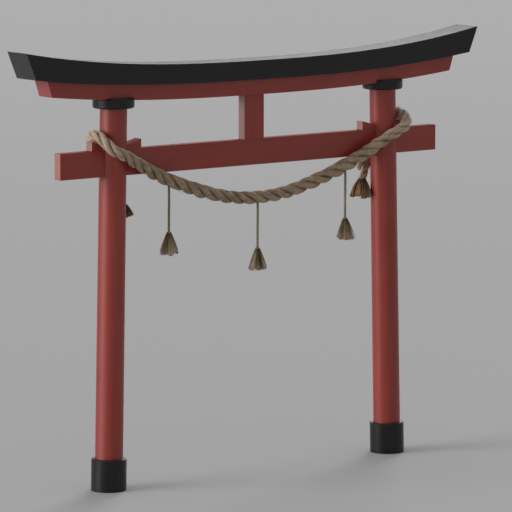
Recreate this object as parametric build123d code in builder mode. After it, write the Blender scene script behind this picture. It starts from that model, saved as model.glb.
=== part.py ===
from build123d import *
import os
from math import pi, radians, tan

# A Japanese torii gate of the curved-lintel kind, in painted timber with a straw rope across it.
# Millimetres. X runs along the beams, Y through the gate (the front faces -Y), Z up.
# The origin is the middle of the left pillar's foot, on the ground.

# Pillars: round, tapered, leaning in towards each other.
pillar_spacing = 3000.0
pillar_foot_diameter = 236.0
pillar_head_diameter = 228.0
pillar_lean = 0.0212  # inward travel for each unit of height

# Collar round the foot of each pillar.
sleeve_diameter = 298.0
sleeve_height = 270.0
sleeve_chamfer = 8.0

# Tie beam, which runs through both pillars and sticks out past them.
tie_beam_length = 4000.0
tie_beam_low = 2645.0
tie_beam_height = 221.0
tie_beam_depth = 84.0

# Wedges driven in above the tie beam on both sides of each pillar.
outer_wedge_reach = 128.0  # from the pillar's face
inner_wedge_reach = 146.0
wedge_tall = 78.0  # at the end away from the pillar
wedge_at_pillar = 38.0

# Strut between the tie beam and the lower lintel.
strut_width = 207.0
strut_depth = 87.0
strut_height = 382.0

# Round capital between each pillar and the lower lintel, with a seat cut for the lintel.
capital_diameter = 350.0
capital_height = 84.0
capital_below_lintel = 35.0  # at mid-span, where the lintel is lowest
capital_chamfer = 10.0

# The two lintels. Each curve has a height at mid-span and a rise at the curve's reach.
curve_reach = 2500.0
curve_power = 2.6
curve_steps = 8  # points on each half of a curve
lower_lintel_height = 132.0  # at mid-span, as the top lintel's
lower_lintel_depth = 190.0
lower_lintel_half_length = 2112.0  # along its underside, as the top lintel's
top_lintel_height = 164.0
top_lintel_depth = 285.0
top_lintel_half_length = 2299.0
underside_rise = 143.0
joint_rise = 143.0
top_rise = 197.0
lower_end_slant = 18.0  # degrees, overhanging upward
top_end_slant = 22.5

# Tenons, hidden in their mortises.
pillar_tenon_side = 90.0
pillar_tenon_in_lintel = 75.0
strut_tenon_width = 80.0
strut_tenon_depth = 34.0
strut_tenon_length = 60.0

eased_edge = 4.0  # on the square timbers

# Straw rope: over each outer wedge, round the pillar's outer side, and sagging between the pillars.
rope_diameter = 106.0
# Route of its left half, as (from the gate's middle, through the gate, up), from the tail to mid-span.
rope_route = [
    (-1402.0, 171.0, 2672.0),
    (-1430.0, 192.0, 2800.0),
    (-1532.0, 168.0, 2945.0),
    (-1614.0, 46.0, 3006.0),
    (-1626.0, -82.0, 2996.0),
    (-1572.0, -189.0, 2880.0),
    (-1440.0, -184.0, 2834.0),
    (-1300.0, -147.0, 2758.0),
    (-1040.0, -106.0, 2620.0),
    (-700.0, -96.0, 2494.0),
    (-360.0, -92.0, 2401.0),
    (-120.0, -91.0, 2372.0),
]
rope_arc_share = 0.45  # of the shorter run beside each corner

# The left tail goes on below the rope's end as a bound neck down to its tassel.
tail_route = [(-1384.0, 150.0, 2560.0), (-1305.0, 120.0, 2414.0)]
tail_tassel_bottom = (-1269.0, 94.0, 2260.0)
tail_neck_diameter = 58.0
tail_tassel_diameter = 179.0

# Three tassels hung from the rope on thin cords: each one's place across the gate, from its middle, and
# its cord's length below the rope.
hung_tassels = {"left": (-946.0, 388.0), "middle": (0.0, 383.0), "right": (935.0, 407.0)}
cord_diameter = 22.0
tassel_neck_diameter = 34.0
tassel_diameter = 162.0
tassel_length = 190.0

# Worked out from the sizes above.
middle = pillar_spacing / 2
tie_beam_top = tie_beam_low + tie_beam_height
lower_lintel_low = tie_beam_top + strut_height
lintel_joint = lower_lintel_low + lower_lintel_height
top_lintel_high = lintel_joint + top_lintel_height
capital_low = lower_lintel_low - capital_below_lintel
overrun = pillar_foot_diameter * pillar_lean  # extra length of a leaning piece, cut off level
sides = {"left": -1, "right": 1}


def axis_x(side, height):
    """Where a pillar's axis stands at a height; side is -1 for the left pillar and 1 for the right."""
    return middle + side * (middle - pillar_lean * height)


def pillar_radius(height):
    """A pillar's radius at a height."""
    share = height / capital_low
    return (pillar_foot_diameter * (1 - share) + pillar_head_diameter * share) / 2


def axis_plane(side):
    """A plane along a pillar's axis: its X runs outward from the axis and its Y up along it."""
    outward = Vector(side, 0, pillar_lean)
    upward = Vector(-side * pillar_lean, 0, 1)
    return Plane(origin=(axis_x(side, 0), 0, 0), x_dir=outward, z_dir=outward.cross(upward))


def curve_points(base, rise):
    """Points of a lintel's curve, over the whole reach, in the plane of the gate."""
    stations = [curve_reach * step / curve_steps for step in range(-curve_steps, curve_steps + 1)]
    return [(middle + x, curve_height(base, rise, x)) for x in stations]


def curve_height(base, rise, x):
    """Height of a lintel's curve at a distance from the gate's middle."""
    return base + rise * abs(x / curve_reach) ** curve_power


def lintel(low, low_rise, high, high_rise, half_length, depth, end_slant):
    """A beam between two curves, its ends cut at a slant that overhangs upward."""
    slant = tan(radians(end_slant))
    bottom = low - low_rise
    top = high + 2 * high_rise
    end_low = curve_height(low, low_rise, half_length)
    narrow = half_length - (end_low - bottom) * slant
    wide = half_length + (top - end_low) * slant
    with BuildPart() as beam:
        with BuildSketch(Plane.XZ):
            with BuildLine():
                under = Spline(*curve_points(low, low_rise))
                over = Spline(*curve_points(high, high_rise))
                Line(under @ 0, over @ 0)
                Line(under @ 1, over @ 1)
            make_face()
        extrude(amount=depth / 2, both=True)
        with BuildSketch(Plane.XZ):
            with BuildLine():
                Polyline(
                    (middle - narrow, bottom),
                    (middle + narrow, bottom),
                    (middle + wide, top),
                    (middle - wide, top),
                    close=True,
                )
            make_face()
        extrude(amount=depth, both=True, mode=Mode.INTERSECT)
        fillet(beam.edges(), eased_edge)
    return beam.part


def wedge(side, facing):
    """A wedge on the tie beam; facing is 1 on the pillar's outer side and -1 on its inner side."""
    away = side * facing
    centre = axis_x(side, tie_beam_top)
    face = pillar_radius(tie_beam_top)
    reach = outer_wedge_reach if facing > 0 else inner_wedge_reach
    slope = (wedge_tall - wedge_at_pillar) / reach
    end = centre + away * (face + reach)
    with BuildPart() as piece:
        with BuildSketch(Plane.XZ):
            with BuildLine():
                Polyline(
                    (centre, tie_beam_top),
                    (end, tie_beam_top),
                    (end, tie_beam_top + wedge_tall),
                    (centre, tie_beam_top + wedge_at_pillar - slope * face),
                    close=True,
                )
            make_face()
        extrude(amount=tie_beam_depth / 2, both=True)
        fillet(piece.faces().sort_by(Axis.X)[-1 if away > 0 else 0].edges(), eased_edge)
    return piece.part


def pillar(side):
    """A tapered round pillar, cut level at its foot and head, with a square tenon on top."""
    foot = axis_plane(side)
    with BuildPart() as piece:
        with BuildSketch(foot):
            with BuildLine():
                Polyline(
                    (0, -overrun),
                    (pillar_radius(-overrun), -overrun),
                    (pillar_radius(capital_low + overrun), capital_low + overrun),
                    (0, capital_low + overrun),
                    close=True,
                )
            make_face()
        revolve(axis=Axis(foot.origin, foot.y_dir))
        split(bisect_by=Plane.XY, keep=Keep.TOP)
        split(bisect_by=Plane.XY.offset(capital_low), keep=Keep.BOTTOM)
        with BuildSketch(Plane.XY.offset(capital_low)):
            with Locations((axis_x(side, capital_low), 0)):
                Rectangle(pillar_tenon_side, pillar_tenon_side)
        extrude(amount=capital_below_lintel + pillar_tenon_in_lintel)
    return piece.part


def capital(side, post, beam):
    """A round block over the pillar's tenon, with its seat cut to the lower lintel."""
    with BuildPart() as piece:
        with BuildSketch(Plane.XY.offset(capital_low)):
            with Locations((axis_x(side, capital_low), 0)):
                Circle(capital_diameter / 2)
        extrude(amount=capital_height)
        chamfer(piece.edges().filter_by(GeomType.CIRCLE), capital_chamfer)
        add(beam, mode=Mode.SUBTRACT)
        add(post, mode=Mode.SUBTRACT)
    return piece.part


def foot_sleeve(side, post):
    """A collar close round the foot of a pillar, cut level with the ground."""
    foot = axis_plane(side)
    outside = sleeve_diameter / 2
    with BuildPart() as piece:
        with BuildSketch(foot):
            with BuildLine():
                Polyline(
                    (0, -overrun),
                    (outside, -overrun),
                    (outside, sleeve_height - sleeve_chamfer),
                    (outside - sleeve_chamfer, sleeve_height),
                    (0, sleeve_height),
                    close=True,
                )
            make_face()
        revolve(axis=Axis(foot.origin, foot.y_dir))
        split(bisect_by=Plane.XY, keep=Keep.TOP)
        add(post, mode=Mode.SUBTRACT)
    return piece.part


def corner_radii(points):
    """One arc for each corner of a route, from the shorter run beside it and its turn."""
    radii = []
    for before, corner, after in zip(points, points[1:], points[2:]):
        arriving, leaving = corner - before, after - corner
        turn = radians(arriving.get_angle(leaving))
        radii.append(rope_arc_share * min(arriving.length, leaving.length) / tan(turn / 2))
    return radii


def on_gate(point, side):
    """A point of the left half's routes, on either half of the gate."""
    return Vector(middle - side * point[0], point[1], point[2])


def bell(top, bottom, neck, skirt):
    """A tassel's bell of straw, widening from its neck along a straight axis."""
    axis = bottom - top
    with BuildPart() as piece:
        with BuildSketch(Plane(origin=top, z_dir=axis)):
            Circle(neck / 2)
        with BuildSketch(Plane(origin=top + axis * 0.5, z_dir=axis)):
            Circle(0.36 * skirt)
        with BuildSketch(Plane(origin=bottom, z_dir=axis)):
            Circle(skirt / 2)
        loft()
    return piece.part


def write(part, name):
    """Labels a piece and writes it."""
    part.label = name
    export_step(part, f"parts/{name}.step")


os.makedirs("parts", exist_ok=True)

# The beams before their mortises.
lower_beam = lintel(
    lower_lintel_low, underside_rise, lintel_joint, joint_rise,
    lower_lintel_half_length, lower_lintel_depth, lower_end_slant,
)
with BuildPart() as tie_beam_blank:
    with BuildSketch(Plane.XY.offset(tie_beam_low)):
        with Locations((middle, 0)):
            Rectangle(tie_beam_length, tie_beam_depth)
    extrude(amount=tie_beam_height)
    fillet(tie_beam_blank.edges(), eased_edge)

# The strut, with a tenon at each end.
with BuildPart() as center_strut:
    with BuildSketch(Plane.XY.offset(tie_beam_top)):
        with Locations((middle, 0)):
            Rectangle(strut_width, strut_depth)
    extrude(amount=strut_height + strut_tenon_length)
    fillet(center_strut.edges().filter_by(Axis.Z), eased_edge)
    add(lower_beam, mode=Mode.SUBTRACT)
    with BuildSketch(Plane.XY.offset(tie_beam_top - strut_tenon_length)):
        with Locations((middle, 0)):
            Rectangle(strut_tenon_width, strut_tenon_depth)
    extrude(amount=strut_height + 2 * strut_tenon_length)
write(center_strut.part, "center_strut")

with BuildPart() as tie_beam:
    add(tie_beam_blank.part)
    add(center_strut.part, mode=Mode.SUBTRACT)
write(tie_beam.part, "tie_beam")

posts = {}
for name, side in sides.items():
    post = pillar(side)
    posts[name] = post
    write(foot_sleeve(side, post), f"{name}_foot_sleeve")
    write(capital(side, post, lower_beam), f"{name}_capital")
    with BuildPart() as mortised:
        add(post)
        add(tie_beam_blank.part, mode=Mode.SUBTRACT)
        for place, facing in (("outer", 1), ("inner", -1)):
            driven = wedge(side, facing)
            write(driven, f"{name}_{place}_wedge")
            add(driven, mode=Mode.SUBTRACT)
    write(mortised.part, f"{name}_pillar")

with BuildPart() as lower_lintel:
    add(lower_beam)
    add(center_strut.part, mode=Mode.SUBTRACT)
    for post in posts.values():
        add(post, mode=Mode.SUBTRACT)
write(lower_lintel.part, "lower_lintel")

top_beam = lintel(
    lintel_joint, joint_rise, top_lintel_high, top_rise,
    top_lintel_half_length, top_lintel_depth, top_end_slant,
)
write(top_beam, "top_lintel")

# The rope, from its left tail over both pillars to its right tail.
left_half = [on_gate(point, -1) for point in rope_route]
right_half = [on_gate(point, 1) for point in reversed(rope_route)]
rope_points = left_half + right_half
rope_radii = corner_radii(rope_points)
with BuildPart() as straw_rope:
    with BuildLine():
        rope_line = FilletPolyline(*rope_points, radius=rope_radii)
    with BuildSketch(Plane(origin=rope_line @ 0, z_dir=rope_line % 0)):
        Circle(rope_diameter / 2)
    sweep()
write(straw_rope.part, "straw_rope")
plain_volume = rope_line.length * pi * rope_diameter**2 / 4
print("rope radii", [round(radius) for radius in rope_radii])
print("rope length", round(rope_line.length), "volume share", round(straw_rope.part.volume / plain_volume, 6))

# Each tail: the rope's end narrows to the neck, with the tassel below it.
for name, side in sides.items():
    end, before = on_gate(rope_route[0], side), on_gate(rope_route[1], side)
    waist, neck = (on_gate(point, side) for point in tail_route)
    bottom = on_gate(tail_tassel_bottom, side)
    with BuildPart() as tail:
        with BuildSketch(Plane(origin=end, z_dir=end - before)):
            Circle(rope_diameter / 2)
        with BuildSketch(Plane(origin=waist, z_dir=neck - end)):
            Circle(tail_neck_diameter / 2)
        with BuildSketch(Plane(origin=neck, z_dir=bottom - neck)):
            Circle(tail_neck_diameter / 2)
        loft()
        add(bell(neck, bottom, tail_neck_diameter, tail_tassel_diameter))
    write(tail.part, f"{name}_tail_tassel")

# The thin cords and the tassels on them.
for name, (place, cord_length) in hung_tassels.items():
    crossing = rope_line.intersect(Plane.YZ.offset(middle + place))
    hung_from = Vector(*crossing[0])
    knot = hung_from - Vector(0, 0, rope_diameter / 2 + cord_length)
    with BuildPart() as cord:
        with BuildSketch(Plane(origin=knot)):
            Circle(cord_diameter / 2)
        extrude(amount=cord_length + rope_diameter / 2)
        add(straw_rope.part, mode=Mode.SUBTRACT)
    write(cord.part, f"{name}_tassel_cord")
    hanging = bell(knot, knot - Vector(0, 0, tassel_length), tassel_neck_diameter, tassel_diameter)
    write(hanging, f"{name}_tassel")
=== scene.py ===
"""Looks of the torii gate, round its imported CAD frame. Metres, in the CAD's own frame: X along the beams,
Y through the gate (the front faces -Y), Z up, with the origin at the left pillar's foot."""

import math
import random

import bpy
import numpy as np
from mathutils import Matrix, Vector


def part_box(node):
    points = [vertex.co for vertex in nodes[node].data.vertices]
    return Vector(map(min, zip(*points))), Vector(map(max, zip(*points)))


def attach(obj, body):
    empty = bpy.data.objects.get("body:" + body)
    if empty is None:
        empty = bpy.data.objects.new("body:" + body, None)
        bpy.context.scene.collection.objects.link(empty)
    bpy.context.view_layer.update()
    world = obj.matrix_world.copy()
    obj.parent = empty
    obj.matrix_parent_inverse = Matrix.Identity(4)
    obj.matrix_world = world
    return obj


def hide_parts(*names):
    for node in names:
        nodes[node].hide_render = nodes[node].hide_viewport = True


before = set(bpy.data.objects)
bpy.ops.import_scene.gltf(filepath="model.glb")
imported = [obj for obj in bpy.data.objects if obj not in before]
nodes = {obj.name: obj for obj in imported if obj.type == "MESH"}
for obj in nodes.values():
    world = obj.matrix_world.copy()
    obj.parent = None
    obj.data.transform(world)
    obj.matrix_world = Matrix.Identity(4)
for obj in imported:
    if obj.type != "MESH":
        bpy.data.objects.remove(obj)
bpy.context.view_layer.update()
left_pillar, right_pillar = (sum(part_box(f"{side}_pillar"), Vector()) / 2 for side in ("left", "right"))
middle = (left_pillar.x + right_pillar.x) / 2  # of the gate, along X


# ---------------------------------------------------------------- camera

camera_place = (-19.7752, -28.1265, 6.5679)
camera_turn = 37.17  # degrees from +Y towards +X
camera_dip = 7.61  # degrees below the horizon
camera_lens = 292.9


def add_camera():
    """The camera, from the gate's front left."""
    camera = bpy.data.objects.new("camera", bpy.data.cameras.new("camera"))
    camera.data.lens = camera_lens
    camera.data.clip_end = 1000
    camera.location = camera_place
    camera.rotation_euler = (math.radians(90 - camera_dip), 0, math.radians(-camera_turn))
    bpy.context.scene.collection.objects.link(camera)
    bpy.context.scene.camera = camera


add_camera()


# ---------------------------------------------------------------- meshes

golden_turn = math.pi * (3 - math.sqrt(5))


def mesh_piece(name, parts, material):
    """One piece from several parts, each a dict of points, faces, uvs and shades, and smooth all over."""
    points, faces, uvs, shades = [], [], [], []
    for part in parts:
        start = len(points)
        points.extend(part["points"])
        faces.extend([start + corner for corner in face] for face in part["faces"])
        uvs.extend(part["uvs"])
        shades.extend(part["shades"])
    mesh = bpy.data.meshes.new(name)
    mesh.from_pydata([tuple(point) for point in points], [], faces)
    layer = mesh.uv_layers.new(name="fibre")
    layer.uv.foreach_set("vector", np.array(uvs, np.float32).ravel())
    shade = mesh.attributes.new("shade", "FLOAT", "POINT")
    shade.data.foreach_set("value", np.array(shades, np.float32))
    mesh.shade_smooth()
    mesh.materials.append(material)
    piece = bpy.data.objects.new(name, mesh)
    bpy.context.scene.collection.objects.link(piece)
    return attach(piece, "root")


def skin(rings, along, tone, shades):
    """A closed tube through rings of points, with a shade for each, 0 for dark and 1 for pale. Its UVs are
    tone plus the share of a turn, and the place along it."""
    count, columns = len(rings), len(rings[0])
    points = [point for ring in rings for point in ring]
    points += [np.mean(rings[0], axis=0), np.mean(rings[-1], axis=0)]
    faces, uvs = [], []
    for ring in range(count - 1):
        for column in range(columns):
            after = (column + 1) % columns
            row, upper = ring * columns, (ring + 1) * columns
            faces.append((row + column, row + after, upper + after, upper + column))
            left, right = tone + column / columns, tone + (column + 1) / columns
            here, next_on = along[ring], along[ring + 1]
            uvs += [(left, here), (right, here), (right, next_on), (left, next_on)]
    for ring, tip in ((0, count * columns), (count - 1, count * columns + 1)):
        for column in range(columns):
            edge = (ring * columns + column, ring * columns + (column + 1) % columns)
            faces.append((tip, *edge) if ring else (tip, *reversed(edge)))
            uvs += [(tone, along[ring])] * 3
    shades = [*np.ravel(shades), float(np.mean(shades[0])), float(np.mean(shades[-1]))]
    return {"points": points, "faces": faces, "uvs": uvs, "shades": shades}


def spline_points(route, steps):
    """Points of the smooth NURBS spline that has the route as its control points."""
    curve = bpy.data.curves.new("route", "CURVE")
    curve.dimensions = "3D"
    spline = curve.splines.new("NURBS")
    spline.points.add(len(route) - 1)
    for point, place in zip(spline.points, route):
        point.co = (*place, 1)
    spline.order_u = 3
    spline.use_endpoint_u = True
    spline.resolution_u = steps
    carrier = bpy.data.objects.new("route", curve)
    mesh = bpy.data.meshes.new_from_object(carrier)
    points = np.array([vertex.co for vertex in mesh.vertices])
    bpy.data.meshes.remove(mesh)
    bpy.data.objects.remove(carrier)
    bpy.data.curves.remove(curve)
    return points


def length_along(points):
    """The distance along a line to each of its points."""
    return np.concatenate([[0], np.cumsum(np.linalg.norm(np.diff(points, axis=0), axis=1))])


def frames_along(points):
    """Two directions across a line at each of its points, which don't twist round it."""
    tangents = np.gradient(points, axis=0)
    tangents /= np.linalg.norm(tangents, axis=1)[:, None]
    least = np.eye(3)[np.argmin(np.abs(tangents[0]))]
    across = np.cross(tangents[0], least)
    sideways = []
    for tangent in tangents:
        across = across - tangent * across.dot(tangent)
        across = across / np.linalg.norm(across)
        sideways.append(across)
    sideways = np.array(sideways)
    return sideways, np.cross(tangents, sideways)


def tube(line, radii, columns, along=None, tone=0.0, shade=1.0):
    """A plain closed tube along a line of points, with one radius for each."""
    line = np.array(line)
    first, second = frames_along(line)
    turns = 2 * np.pi * np.arange(columns) / columns
    spread = np.cos(turns)[None, :, None] * first[:, None] + np.sin(turns)[None, :, None] * second[:, None]
    rings = line[:, None] + np.array(radii)[:, None, None] * spread
    shades = np.full(rings.shape[:2], shade)
    return skin(rings, length_along(line) if along is None else along, tone, shades)


def smoothstep(low, high, value):
    """0 below low, 1 above high, and a smooth rise between."""
    share = np.clip((value - low) / (high - low), 0, 1)
    return share * share * (3 - 2 * share)


# ---------------------------------------------------------------- cords

strand_across = 0.53  # how far a strand's middle is from its rope's, as a share of the rope's radius
strand_half_deep = 0.47  # half a strand's depth, as a share of the same
strand_half_wide = 0.55
turn_per_diameter = 3.7  # a strand's lay, in rope diameters
yarn_turns = -1.55  # turns of a strand's yarns for each turn of the rope, the other way round
yarn_profile = [0.0, 0.72, 1.0, 0.72]  # heights round one yarn, from the groove beside it
yarn_unevenness = 0.45  # of a yarn's height along it
groove_shade = 0.75  # painted shade in the grooves between yarns, as a share of the shade on them
strand_wander = 1.6  # how many radians a strand strays round its rope, as a multiple of its unevenness
waves_in_sway = 3
wander_waves = (5, 16)  # radians a metre, as those below
swell_waves = (8, 30)
yarn_waves = (9, 24)
any_phase = 6.3  # radians, about a whole turn
shaded_end_fade = (0.2, 0.42)  # from either end, where the painted shade on the rope's ends gives way


def sway_along(along, rng, low, high):
    """A smooth random swing along a line, mostly within -1 to 1, in waves of low to high radians a metre."""
    waves = [np.sin(along * rng.uniform(low, high) + rng.uniform(0, any_phase)) for _ in range(waves_in_sway)]
    return sum(waves) / math.sqrt(waves_in_sway)


def twisted_rope(line, radii, yarns, yarn_depth, seed, uneven=0.0, shaded_ends=0.0):
    """Three strands laid right-handed round a line, as closed tubes with their yarns modelled on them. They
    wander and swell by uneven, and painted shade, as much as the last argument, darkens their shades towards
    both ends of the line, where the tails hang behind the pillars."""
    rng = np.random.default_rng(seed)
    line, radii = np.array(line), np.array(radii)
    along = length_along(line)
    steps = np.diff(along) / (2 * turn_per_diameter * (radii[1:] + radii[:-1]) / 2)
    turns = 2 * np.pi * np.concatenate([[0], np.cumsum(steps)])
    first, second = frames_along(line)
    columns = len(yarn_profile) * yarns
    light = 1 - shaded_ends * (1 - smoothstep(*shaded_end_fade, np.minimum(along, along[-1] - along)))
    around = 2 * np.pi * np.arange(columns) / columns
    ridge = np.tile(yarn_profile, yarns)
    parts = []
    for strand in range(3):
        wander = uneven * strand_wander * sway_along(along, rng, *wander_waves)
        phase = turns + 2 * np.pi * strand / 3 + wander
        size = 1 + uneven * sway_along(along, rng, *swell_waves)
        outward = np.cos(phase)[:, None] * first + np.sin(phase)[:, None] * second
        sideways = -np.sin(phase)[:, None] * first + np.cos(phase)[:, None] * second
        angle = around[None, :] + yarn_turns * turns[:, None]
        sway = [
            np.sin(along[:, None] * rng.uniform(*yarn_waves, yarns) + rng.uniform(0, any_phase, yarns))
            for _ in range(2)
        ]
        thick = np.repeat(1 + yarn_unevenness * sway[0] * sway[1], len(yarn_profile), axis=1)
        swell = size[:, None] * (1 + yarn_depth * (thick * ridge[None, :] - 0.5))
        deep = radii[:, None] * (strand_across + strand_half_deep * swell * np.cos(angle))
        wide = radii[:, None] * strand_half_wide * swell * np.sin(angle)
        rings = line[:, None] + deep[..., None] * outward[:, None] + wide[..., None] * sideways[:, None]
        # Painted shade: the shades darken with depth into the rope's creases and the grooves between its
        # yarns.
        grooves = groove_shade + (1 - groove_shade) * ridge[None, :]
        shades = np.hypot(deep, wide) / radii[:, None] * grooves * light[:, None]
        parts.append(skin(rings, along, strand, shades))
    return parts


# The rope's route in two halves, each from inside its tail's tassel, up behind its pillar, over its outer
# wedge and down to mid-span, as (from the gate's middle, through the gate, up). The two differ only round
# the pillar, where the right one is wound a little tighter.
tail_neck = (-1.305, 0.120, 2.414)
rope_left = [
    (-1.290, 0.109, 2.348),
    tail_neck,
    (-1.384, 0.151, 2.560),
    (-1.402, 0.171, 2.672),
    (-1.430, 0.192, 2.800),
    (-1.532, 0.168, 2.942),
    (-1.614, 0.046, 2.996),
    (-1.620, -0.082, 2.984),
    (-1.566, -0.184, 2.874),
    (-1.440, -0.178, 2.830),
    (-1.300, -0.146, 2.756),
    (-1.040, -0.106, 2.620),
    (-0.700, -0.096, 2.494),
    (-0.360, -0.092, 2.401),
    (-0.120, -0.091, 2.372),
]
rope_right = [
    *rope_left[:5],
    (-1.568, 0.164, 2.862),
    (-1.628, 0.095, 2.963),
    (-1.616, -0.005, 2.998),
    (-1.616, -0.092, 2.966),
    (-1.548, -0.186, 2.888),
    (-1.436, -0.178, 2.846),
    (-1.300, -0.146, 2.764),
    *rope_left[11:],
]
tail_tassel_bottom = (-1.269, 0.094, 2.260)
strand_end_top = (-1.352, 0.146, 2.625)
strand_end_tip = (-1.258, 0.116, 2.505)
strand_end_radius = 0.023

rope_radius = 0.0545
loose_by = 0.0042  # how much thicker the rope is where it hangs loosest
thickest_at = 0.78  # that place, from the gate's middle
loose_reach = 0.27  # how far the looseness spreads along the gate
tight_by = 0.0065  # how much thinner the rope is where it is drawn round the pillars
tight_reach = (1.1, 1.4)  # from the gate's middle, where it thins
tail_neck_radius = 0.031
neck_length = 0.13  # of the rope's end, before it widens
full_from = 0.30  # along the rope, where it has its full thickness
wisp_root = 0.84  # how far out a wisp starts, as a share of the rope's radius
wisp_reach = (0.018, 0.058)
wisp_lift = (0.1, 0.55)  # off the rope, as a share of the reach
wisp_radius = (0.0008, 0.0015)
wisp_steps = (0, 0.4, 0.75, 1)  # shares of the reach
wisp_taper = (1, 1, 0.8, 0.3)  # shares of the radius at those steps
wisp_gap = 0.002  # from a wisp's middle to a pillar's face

# The left tail's straw is made darker, as painted shade for the left pillar's shadow in which it hangs.
tails = {"left": (-1, 0.3), "right": (1, 1.0)}  # side, and how pale the straw is
hung_tassels = {  # place from the gate's middle, cord below the rope, and how pale the straw is
    "left": (-0.946, 0.388, 1.3),
    "middle": (0.0, 0.383, 1.0),
    "right": (0.935, 0.407, 1.0),
}
loops_start = 2.7  # height above which the rope only goes round the pillars
cord_radius = 0.011
cord_start = 0.55  # how far below the rope's line a cord starts, as a share of the rope's radius
cord_sway = (0.0015, -0.001, 0)
cord_in_tassel = 0.085
tassel_length = 0.190
tassel_neck_radius = 0.016
tassel_skirt_radius = 0.091
tassel_swell = 0.25
tail_skirt_radius = 0.106
tail_swell = 0.8
locks_in_tassel = 15
lock_scatter = 0.2  # radians
lock_length = (0.9, 1.04)
lock_pull = 0.16  # how far each straw is drawn to its lock's middle
lock_lean = 0.05
straw_steps = 5  # runs in each straw's path
straw_scatter = 0.15  # radians
straw_bend = 0.05
straw_gap = 1.5  # from a straw's middle to a pillar's face, in the straw's radii
straw_taper = (1.05, 0.4)  # a straw's thickness at the neck, and what it loses down its length
straw_outward = (0.9, 0.2)  # the middle straw's thickness, and what the outermost have more
tone_shares = (0.7, 0.3)  # how much of a straw's shade is its lock's, and how much its own
round_hem = 0.03  # how much shorter the outermost straws are
ragged_hem = 0.06  # how much shorter any straw may be
stray_straws = 0.05  # share of a tassel's straws
stray_short = 0.1  # how much shorter still a stray one may be
stray_out = 0.22  # how much further out a stray one may stand

pillar_half_spacing = 1.5  # from the gate's middle to a pillar's axis, at the ground
pillar_lean = 0.0212  # inward travel for each metre up
pillar_foot_radius = 0.118
pillar_taper = 0.0012  # lost from the radius for each metre up


def on_gate(point, side):
    """A point of a half's route, on the gate's left (-1) or right (1)."""
    return (middle - side * point[0], point[1], point[2])


def off_pillars(point, gap):
    """A point moved straight away from the nearer pillar, if need be, to be a gap clear of its face."""
    side = 1 if point[0] > middle else -1
    axis = middle + side * (pillar_half_spacing - pillar_lean * point[2])
    radius = pillar_foot_radius - pillar_taper * point[2] + gap
    away = math.hypot(point[0] - axis, point[1])
    if away >= radius:
        return point
    return np.array((axis + (point[0] - axis) * radius / away, point[1] * radius / away, point[2]))


def rope_radii(line):
    """The rope's radius along its line: narrow at both necks, full between, loosest beside the pillars."""
    along = length_along(line)
    from_end = np.minimum(along, along[-1] - along)
    beside = np.abs(line[:, 0] - middle)
    full = rope_radius + loose_by * np.exp(-(((beside - thickest_at) / loose_reach) ** 2))
    full = full - tight_by * smoothstep(*tight_reach, beside)
    return tail_neck_radius + (full - tail_neck_radius) * smoothstep(neck_length, full_from, from_end)


def wisps(line, radii, count, seed):
    """Loose straw ends that stand off a rope's surface."""
    rng = random.Random(seed)
    first, second = frames_along(line)
    parts = []
    for _ in range(count):
        ring = rng.randrange(4, len(line) - 4)
        turn = rng.uniform(0, 2 * math.pi)
        forward = line[ring + 1] - line[ring]
        forward = forward / np.linalg.norm(forward) * rng.choice((-1, 1))
        outward = math.cos(turn) * first[ring] + math.sin(turn) * second[ring]
        root = line[ring] + outward * radii[ring] * wisp_root
        reach = rng.uniform(*wisp_reach)
        lift = rng.uniform(*wisp_lift)
        path = []
        for share in wisp_steps:
            point = root + forward * reach * share + outward * reach * lift * share * share
            path.append(off_pillars(point, wisp_gap))
        thick = rng.uniform(*wisp_radius)
        tapered = [thick * share for share in wisp_taper]
        parts.append(tube(path, tapered, columns=3, tone=rng.random()))
    return parts


def binding(centre, axis, radius, turns, twine):
    """Twine wound close round a neck, as one coil about an axis, closed at both ends. Twine is its radius."""
    axis = Vector(axis).normalized()
    across = axis.orthogonal().normalized()
    beside = axis.cross(across)
    steps_in_turn = 20
    rise_of_turn = 1.9  # in the twine's radii, so that the turns press together
    coil = []
    for step in range(turns * steps_in_turn + 1):
        turn = 2 * math.pi * step / steps_in_turn
        rise = (step / steps_in_turn - turns / 2) * twine * rise_of_turn
        out = across * math.cos(turn) + beside * math.sin(turn)
        coil.append(Vector(centre) + axis * rise + out * radius)
    return tube(coil, [twine] * len(coil), columns=6)


def place_in_disc(number, count, rng, scatter):
    """The place of one of many straws spread evenly over a disc of radius 1, and how far out it is."""
    out = math.sqrt((number + 0.5) / count)
    turn = number * golden_turn + rng.uniform(-scatter, scatter)
    return out * np.array((math.cos(turn), math.sin(turn))), out


def bundle_locks(count, rng):
    """Locks of straw across a bundle: for each its place in a disc of radius 1, tone, length and lean."""
    locks = []
    for number in range(count):
        place, _ = place_in_disc(number, count, rng, lock_scatter)
        lean = np.array((rng.uniform(-1, 1), rng.uniform(-1, 1)))
        tone, length = rng.random(), rng.uniform(*lock_length)
        locks.append({"place": place, "tone": tone, "length": length, "lean": lean})
    return locks


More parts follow.
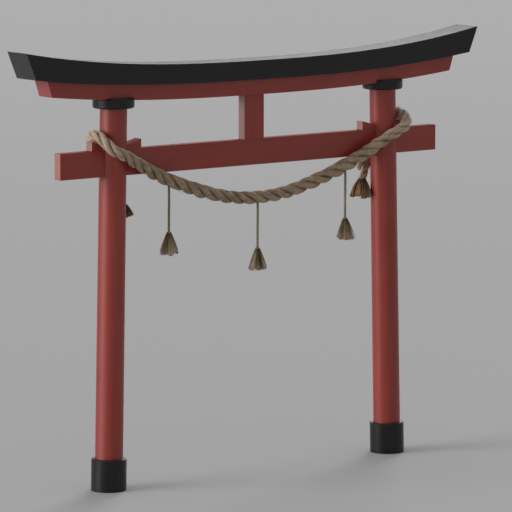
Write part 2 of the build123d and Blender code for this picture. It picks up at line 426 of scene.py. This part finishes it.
def straw_bundle(top, bottom, neck, skirt, count, straw, seed, pale=1.0, swell=0.55):
    """A tassel's straws, packed in its neck and spreading in locks to a ragged hem, with a few stray ones.
    They spread in a straight cone where swell is 0, and sooner where it is more. Straw is their radius."""
    rng = random.Random(seed)
    top, bottom = np.array(top), np.array(bottom)
    first, second = frames_along(np.array([top, (top + bottom) / 2, bottom]))
    first, second = first[0], second[0]
    drop = bottom - top
    locks = bundle_locks(locks_in_tassel, rng)
    shares = [step / straw_steps for step in range(straw_steps + 1)]
    parts = []
    for number in range(count):
        place, share_out = place_in_disc(number, count, rng, straw_scatter)
        lock = min(locks, key=lambda lock: np.linalg.norm(lock["place"] - place))
        stray = rng.random() < stray_straws
        tall = lock["length"] * (1 - round_hem * share_out**3)
        tall = tall - rng.uniform(0, ragged_hem) - stray_short * stray * rng.random()
        bend = rng.uniform(-straw_bend, straw_bend)
        away = place + (lock["place"] - place) * lock_pull + lock["lean"] * lock_lean
        away = away * (1 + stray_out * stray * rng.random())
        path, radii = [], []
        for down in shares:
            share = down * tall
            spread = share * (1 + swell - swell * share) + bend * share * (1 - share)
            across = place * neck * (1 - spread) + away * (skirt - straw) * spread
            point = top + drop * share + first * across[0] + second * across[1]
            path.append(off_pillars(point, straw_gap * straw))
            tapered = straw_taper[0] - straw_taper[1] * down
            radii.append(straw * tapered * (straw_outward[0] + straw_outward[1] * share_out))
        shade = pale * (tone_shares[0] * lock["tone"] + tone_shares[1] * rng.random())
        own_tone = rng.randrange(400) + 0.001  # just above a whole number, from which the colour is drawn
        parts.append(tube(path, radii, columns=4, along=shares, tone=own_tone, shade=shade))
    return parts


# ---------------------------------------------------------------- materials

grain_stretch = 0.035  # of the noise, along the grain
worn_edge = 0.009
loops_beside = (1.35, 1.54)  # from the gate's middle, where the painted highlight on the loops round the pillars begins
loops_above = (2.64, 2.76)  # and how high
paler_right = (0.2, 1.0)  # from the gate's middle, where painted light turns the rope paler


def linear(red, green, blue):
    """A colour written as it looks on a display, 0 to 255, as Blender's linear colour."""
    parts = (value / 255 for value in (red, green, blue))
    return (*((part / 12.92 if part <= 0.04045 else ((part + 0.055) / 1.055) ** 2.4) for part in parts), 1.0)


class Nodes:
    """Builds one material's node tree."""

    def __init__(self, name):
        self.material = bpy.data.materials.new(name)
        self.material.use_nodes = True
        self.tree = self.material.node_tree
        self.shader = self.tree.nodes["Principled BSDF"]

    def add(self, kind, output=0, inputs=None, **settings):
        """Adds a node, sets or links its inputs, and returns one of its outputs."""
        made = self.tree.nodes.new("ShaderNode" + kind)
        for name, value in settings.items():
            setattr(made, name, value)
        for name, value in (inputs or {}).items():
            self.set(made.inputs[name], value)
        return made.outputs[output]

    def set(self, socket, value):
        """Links a socket to another node's output, or gives it a value."""
        if isinstance(value, bpy.types.NodeSocket):
            self.tree.links.new(value, socket)
        else:
            socket.default_value = value

    def noise(self, coordinates, scale, detail=4.0, rough=0.6, distortion=0.0):
        """Noise from 0 to 1, about 0.5 on average."""
        inputs = {"Vector": coordinates, "Scale": scale, "Detail": detail, "Roughness": rough}
        inputs["Distortion"] = distortion
        return self.add("TexNoise", inputs=inputs)

    def stretch(self, coordinates, scale):
        """Coordinates scaled by one number each way."""
        return self.add("Mapping", inputs={"Vector": coordinates, "Scale": scale})

    def ramp(self, value, low, high, to_low=0.0, to_high=1.0):
        """A smooth step of a value."""
        inputs = {"Value": value, "From Min": low, "From Max": high, "To Min": to_low, "To Max": to_high}
        return self.add("MapRange", inputs=inputs, interpolation_type="SMOOTHSTEP")

    def math(self, operation, first, second=0.0):
        """Arithmetic on two numbers."""
        return self.add("Math", inputs={0: first, 1: second}, operation=operation)

    def mix(self, factor, first, second):
        """A blend of two colours."""
        return self.add("Mix", 2, {0: factor, 6: first, 7: second}, data_type="RGBA")

    def worn_edges(self, radius):
        """About 1 on edges sharper than the radius, and 0 on flat or gently curved faces."""
        eased = self.add("Bevel", inputs={"Radius": radius}, samples=6)
        true = self.add("NewGeometry", 3)
        match = self.add("VectorMath", 1, {0: eased, 1: true}, operation="DOT_PRODUCT")
        return self.ramp(match, 0.99, 0.86)

    def finish(self, colour, roughness, height, bump, distance, specular):
        """Sets the shader's sockets and returns the material."""
        self.set(self.shader.inputs["Base Color"], colour)
        self.set(self.shader.inputs["Roughness"], roughness)
        self.shader.inputs["Specular IOR Level"].default_value = specular
        inputs = {"Strength": bump, "Distance": distance, "Height": height}
        self.set(self.shader.inputs["Normal"], self.add("Bump", inputs=inputs))
        return self.material


def painted_timber(name, along, side_sheen_paint, deep, bright, faded, bare, gloss, shine, dulled):
    """Opaque paint over planed timber, with faint grain along one axis, mottling, paler worn edges, paint
    that is rougher by dulled on faces that look up, and a painted pale sheen, for the light on them, on faces
    that look along X."""
    make = Nodes(name)
    place = make.add("TexCoord", 3)
    scale = [1.0, 1.0, 1.0]
    scale["XYZ".index(along)] = grain_stretch
    grain_place = make.stretch(place, scale)
    fine = make.noise(grain_place, 120, detail=5, rough=0.65)
    streaks = make.noise(grain_place, 22, detail=4, distortion=0.4)
    broad = make.noise(place, 1.7, detail=5, rough=0.55)
    patches = make.noise(place, 9, detail=6, rough=0.7)
    lines = make.noise(grain_place, 46, detail=2, rough=0.4, distortion=0.8)
    near = make.math("ABSOLUTE", make.math("SUBTRACT", lines, 0.5))
    check = make.math("MULTIPLY", make.ramp(near, 0.014, 0.002), make.ramp(patches, 0.5, 0.62))
    colour = make.mix(make.ramp(streaks, 0.32, 0.68), deep, bright)
    colour = make.mix(make.ramp(broad, 0.45, 0.75, 0.0, 0.45), colour, faded)
    colour = make.mix(make.ramp(fine, 0.35, 0.7, 0.0, 0.16), colour, faded)
    facing = make.add("SeparateXYZ", 0, {"Vector": make.add("NewGeometry", 3)})
    if side_sheen_paint:
        # Painted sheen: faces that look along X are paler, for the light that falls on them, mottled by
        # patches.
        painted_side_sheen = make.mix(make.ramp(patches, 0.3, 0.75, 0.0, 0.3), side_sheen_paint, deep)
        colour = make.mix(make.ramp(make.math("ABSOLUTE", facing), 0.75, 0.9), colour, painted_side_sheen)
    colour = make.mix(make.math("MULTIPLY", check, 0.3), colour, linear(22, 12, 10))
    worn = make.math("MULTIPLY", make.worn_edges(worn_edge), make.ramp(patches, 0.4, 0.66))
    colour = make.mix(make.math("MULTIPLY", worn, 0.5), colour, bare)
    rough = make.ramp(make.math("ADD", fine, patches), 0.6, 1.4, gloss - 0.07, gloss + 0.1)
    rough = make.math("ADD", rough, make.ramp(facing.node.outputs[2], 0.5, 0.9, 0.0, dulled))
    height = make.math("ADD", make.math("MULTIPLY", fine, 0.45), make.math("MULTIPLY", streaks, 0.8))
    height = make.math("SUBTRACT", height, make.math("MULTIPLY", check, 0.5))
    return make.finish(colour, rough, height, 0.3, 0.0012, shine)


def straw_fibre(name, pale, mid, dark, fibre_scale, green, loop_highlight):
    """Twisted straw: fine fibres along each strand in uneven patches, with painted shade down in its creases,
    a painted highlight on the loops round the pillars and painted light, a little paler, on the gate's right."""
    make = Nodes(name)
    place = make.add("TexCoord", 3)
    around = make.add("UVMap", uv_map="fibre")
    fibre_place = make.stretch(around, fibre_scale)
    fibres = make.noise(fibre_place, 1.0, detail=5, rough=0.7)
    stalks = make.noise(make.stretch(fibre_place, (0.35, 0.5, 1)), 1.0, detail=2)
    patches = make.noise(place, 7.0, detail=4)
    blotches = make.noise(place, 26.0, detail=5, rough=0.7)
    specks = make.noise(place, 75.0, detail=3, rough=0.7)
    shade = make.add("Attribute", 2, attribute_name="shade")
    split = make.add("SeparateXYZ", 0, {"Vector": place})
    across, high = split, split.node.outputs[2]
    beside = make.math("ABSOLUTE", make.math("SUBTRACT", across, middle))
    # Painted highlight: the loops round the pillars are paler, for the light that falls on them.
    painted_loop_light = make.math("MULTIPLY", make.ramp(beside, *loops_beside), make.ramp(high, *loops_above))
    rightward = (middle + paler_right[0], middle + paler_right[1])
    colour = make.mix(make.ramp(fibres, 0.3, 0.7), mid, pale)
    # Painted light: paler towards the gate's right, for the light on the rope's rise there.
    colour = make.mix(make.ramp(across, *rightward, 0.0, 0.5), colour, pale)
    colour = make.mix(make.ramp(patches, 0.44, 0.68, 0.0, 0.6), colour, green)
    colour = make.mix(make.math("MULTIPLY", painted_loop_light, 0.45), colour, loop_highlight)
    colour = make.mix(make.ramp(blotches, 0.54, 0.76, 0.0, 0.6), colour, pale)
    colour = make.mix(make.ramp(blotches, 0.46, 0.28, 0.0, 0.55), colour, dark)
    colour = make.mix(make.ramp(specks, 0.56, 0.74, 0.0, 0.6), colour, pale)
    colour = make.mix(make.ramp(specks, 0.44, 0.28, 0.0, 0.5), colour, dark)
    colour = make.mix(make.ramp(stalks, 0.5, 0.72, 0.0, 0.5), colour, dark)
    # Painted shade: darker down in the creases, from the shade attribute.
    colour = make.mix(make.ramp(shade, 0.8, 0.4, 0.0, 0.6), colour, dark)
    rough = make.ramp(fibres, 0.3, 0.7, 0.72, 0.58)
    height = make.math("ADD", fibres, make.math("MULTIPLY", stalks, 0.6))
    return make.finish(colour, rough, height, 0.55, 0.0015, 0.35)


def cut_straw(name, root, stalk, dark, tip, green):
    """Loose straws: each has its lock's tone, some are green, and all are dark at the neck and paler at the
    cut end."""
    make = Nodes(name)
    around = make.add("UVMap", uv_map="fibre")
    split = make.add("SeparateXYZ", 0, {"Vector": around})
    across, along = split, split.node.outputs[1]
    own = make.add("TexWhiteNoise", 0, {"W": make.math("FLOOR", across)}, noise_dimensions="1D")
    shade = make.add("Attribute", 2, attribute_name="shade")
    flecks = make.noise(make.stretch(around, (3, 9, 1)), 1.0, detail=4, rough=0.7)
    colour = make.mix(make.ramp(shade, 0.15, 0.85), dark, stalk)
    colour = make.mix(make.ramp(own, 0.6, 1.0, 0.0, 0.6), colour, green)
    colour = make.mix(make.ramp(flecks, 0.45, 0.7, 0.0, 0.4), colour, root)
    paling = make.math("MULTIPLY", make.ramp(along, 0.45, 1.0), make.ramp(shade, 0.0, 1.0, 0.35, 0.95))
    colour = make.mix(paling, colour, tip)
    colour = make.mix(make.ramp(along, 0.5, 0.05, 0.0, 0.8), colour, root)
    rough = make.ramp(flecks, 0.3, 0.7, 0.74, 0.6)
    return make.finish(colour, rough, flecks, 0.3, 0.0008, 0.35)


vermilion = {
    "deep": linear(137, 42, 30),
    "bright": linear(150, 48, 35),
    "faded": linear(156, 60, 46),
    "bare": linear(172, 112, 92),
    "gloss": 0.38,
    "shine": 0.6,
    "dulled": 0.4,
}
black = {
    "deep": linear(11, 11, 11),
    "bright": linear(17, 17, 17),
    "faded": linear(27, 27, 27),
    "bare": linear(70, 68, 66),
    "gloss": 0.34,
    "shine": 0.4,
    "dulled": 0.02,
}
red_pillar = painted_timber("vermilion_pillar", "Z", None, **vermilion)
# The third colour is painted on faces that look along X, as a painted highlight for the light on them.
red_strut = painted_timber("vermilion_strut", "Z", linear(146, 118, 113), **vermilion)
red_tie = painted_timber("vermilion_tie_beam", "X", linear(168, 115, 104), **vermilion)
red_wedge = painted_timber("vermilion_wedge", "X", linear(158, 124, 114), **vermilion)
red_lintel = painted_timber("vermilion_lintel", "X", linear(152, 74, 74), **vermilion)
black_lintel = painted_timber("black_lintel", "X", linear(52, 52, 52), **black)
black_block = painted_timber("black_block", "Z", None, **black)
rope_straw = straw_fibre(
    "rope_straw",
    pale=linear(192, 167, 143),
    mid=linear(150, 129, 102),
    dark=linear(64, 50, 36),
    fibre_scale=(40, 26, 1),
    green=linear(118, 108, 70),
    # a painted highlight on the loops round the pillars
    loop_highlight=linear(206, 184, 170),
)
twine_straw = straw_fibre(
    "twine_straw",
    pale=linear(160, 156, 130),
    mid=linear(128, 126, 104),
    dark=linear(60, 58, 44),
    fibre_scale=(14, 60, 1),
    green=linear(108, 112, 88),
    # a painted highlight where the twine lies on the loops round the pillars
    loop_highlight=linear(140, 132, 112),
)
tassel_straw = cut_straw(
    "tassel_straw",
    root=linear(66, 52, 34),
    stalk=linear(166, 144, 106),
    dark=linear(94, 76, 50),
    tip=linear(210, 184, 166),
    green=linear(122, 118, 56),
)
tail_straw = cut_straw(
    "tail_straw",
    root=linear(50, 38, 28),
    stalk=linear(146, 112, 76),
    dark=linear(66, 49, 35),
    tip=linear(178, 140, 106),
    green=linear(160, 118, 50),
)


def dress(material, slot, *names):
    """Gives CAD nodes a material. Slot, which of the record's finishes they have, is not used."""
    for name in names:
        nodes[name].data.materials.clear()
        nodes[name].data.materials.append(material)


dress(red_pillar, "vermilion", "left_pillar", "right_pillar")
dress(red_strut, "vermilion", "center_strut")
dress(red_tie, "vermilion", "tie_beam")
dress(red_lintel, "vermilion", "lower_lintel")
for side in ("left", "right"):
    dress(red_wedge, "vermilion", f"{side}_outer_wedge", f"{side}_inner_wedge")
    dress(black_block, "black", f"{side}_foot_sleeve", f"{side}_capital")
dress(black_lintel, "black", "top_lintel")


# ---------------------------------------------------------------- the rope and what hangs from it


def add_rope():
    """The rope in one length from tail to tail, with its tassels. Returns its line."""
    route = [on_gate(point, -1) for point in rope_left]
    route += [on_gate(point, 1) for point in reversed(rope_right)]
    line = spline_points(route, steps=22)
    radii = rope_radii(line)
    # The last figure darkens the rope's tails with painted shade.
    strands = twisted_rope(line, radii, yarns=12, yarn_depth=0.11, seed=3, uneven=0.075, shaded_ends=0.15)
    rope = mesh_piece("straw_rope_strands", strands, rope_straw)
    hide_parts("straw_rope")
    ends = mesh_piece("straw_rope_wisps", wisps(line, radii, count=1100, seed=5), rope_straw)
    with_rope = [ends]
    for name, (side, pale) in tails.items():
        top, bottom = on_gate(tail_neck, side), on_gate(tail_tassel_bottom, side)
        axis = Vector(bottom) - Vector(top)
        straws = straw_bundle(
            top,
            bottom,
            neck=tail_neck_radius,
            skirt=tail_skirt_radius,
            count=440,
            straw=0.0044,
            seed=11 + side,
            pale=pale,
            swell=tail_swell,
        )
        bell = mesh_piece(f"{name}_tail_straws", straws, tail_straw)
        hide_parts(f"{name}_tail_tassel")
        wound = binding(top, axis, radius=tail_neck_radius + 0.001, turns=5, twine=0.0035)
        band = mesh_piece(f"{name}_tail_binding", [wound], twine_straw)
        end_top, end_tip = on_gate(strand_end_top, side), on_gate(strand_end_tip, side)
        loose = straw_bundle(
            end_top,
            end_tip,
            neck=strand_end_radius,
            skirt=strand_end_radius,
            count=100,
            straw=0.0034,
            seed=17 + side,
            pale=pale,
        )
        strand_end = mesh_piece(f"{name}_strand_end", loose, tassel_straw)
        with_rope += [bell, band, strand_end]
    return line


def add_tassel(name, place, cord_length, pale, rope_line):
    """A thin cord from the rope's underside, with a straw tassel tied on its end."""
    beside = np.abs(rope_line[:, 0] - middle - place)
    too_high = np.maximum(rope_line[:, 2] - loops_start, 0)
    over = rope_line[np.argmin(beside + too_high)]
    top = Vector(over) - Vector((0, 0, rope_radius * cord_start))
    knot = Vector(over) - Vector((0, 0, rope_radius + cord_length))
    tail = knot - Vector((0, 0, cord_in_tassel))
    sway = Vector(cord_sway)
    route = [top, top.lerp(knot, 0.35) + sway, top.lerp(knot, 0.7) - sway, tail]
    line = spline_points(route, steps=64)
    strands = twisted_rope(line, [cord_radius] * len(line), yarns=5, yarn_depth=0.12, seed=21)
    cord = mesh_piece(f"{name}_tassel_twine", strands, twine_straw)
    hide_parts(f"{name}_tassel_cord")
    bottom = knot - Vector((0, 0, tassel_length))
    straws = straw_bundle(
        knot,
        bottom,
        neck=tassel_neck_radius,
        skirt=tassel_skirt_radius,
        count=260,
        straw=0.0036,
        seed=31 + len(name),
        pale=pale,
        swell=tassel_swell,
    )
    bell = mesh_piece(f"{name}_tassel_straws", straws, tassel_straw)
    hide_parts(f"{name}_tassel")
    below_knot = knot - Vector((0, 0, 0.010))
    wound = binding(below_knot, (0, 0, -1), radius=tassel_neck_radius + 0.002, turns=5, twine=0.003)
    band = mesh_piece(f"{name}_tassel_binding", [wound], twine_straw)


rope_line = add_rope()
for tassel_name, (tassel_place, cord_below, straw_tone) in hung_tassels.items():
    add_tassel(tassel_name, tassel_place, cord_below, straw_tone, rope_line)


# ---------------------------------------------------------------- floor and light

floor_half = 260.0
floor_near = linear(181, 181, 181)  # under the gate
floor_far = linear(191, 191, 191)
floor_fade = (2.0, 55.0)  # from the gate, where the one gives way to the other
world_grey = linear(162, 162, 162)


def add_floor():
    """A plain floor, wide enough to fill the view, a little paler away from the gate."""
    make = Nodes("floor")
    place = make.add("TexCoord", 3)
    away = make.add("VectorMath", 1, {0: place, 1: (middle, 0, 0)}, operation="DISTANCE")
    colour = make.mix(make.ramp(away, *floor_fade), floor_near, floor_far)
    make.set(make.shader.inputs["Base Color"], colour)
    make.shader.inputs["Roughness"].default_value = 1.0
    make.shader.inputs["Specular IOR Level"].default_value = 0.0
    mesh = bpy.data.meshes.new("floor")
    corners = [(-floor_half, -floor_half, 0), (floor_half, -floor_half, 0)]
    corners += [(floor_half, floor_half, 0), (-floor_half, floor_half, 0)]
    mesh.from_pydata(corners, [], [(0, 1, 2, 3)])
    mesh.materials.append(make.material)
    floor = bpy.data.objects.new("floor", mesh)
    bpy.context.scene.collection.objects.link(floor)


def add_lamp(name, direction, strength, width):
    """A distant light that shines from a direction, as broad as width degrees."""
    light = bpy.data.lights.new(name, "SUN")
    light.energy = strength
    light.angle = math.radians(width)
    lamp = bpy.data.objects.new(name, light)
    lamp.rotation_euler = Vector(direction).to_track_quat("Z", "Y").to_euler()
    bpy.context.scene.collection.objects.link(lamp)


def add_light():
    """A soft key light low on the left, weaker ones at the back right and above, and an even grey world."""
    add_lamp("key", (-0.95, 0.27, 0.23), strength=2.5, width=40)
    add_lamp("back", (0.77, 0.60, 0.50), strength=1.3, width=28)
    add_lamp("top", (0.0, 0.3, 1.0), strength=0.25, width=50)
    world = bpy.data.worlds.new("studio")
    world.use_nodes = True
    background = world.node_tree.nodes["Background"]
    background.inputs["Color"].default_value = world_grey
    background.inputs["Strength"].default_value = 1.0
    bpy.context.scene.world = world


add_floor()
add_light()
bpy.context.scene.view_settings.view_transform = "Standard"
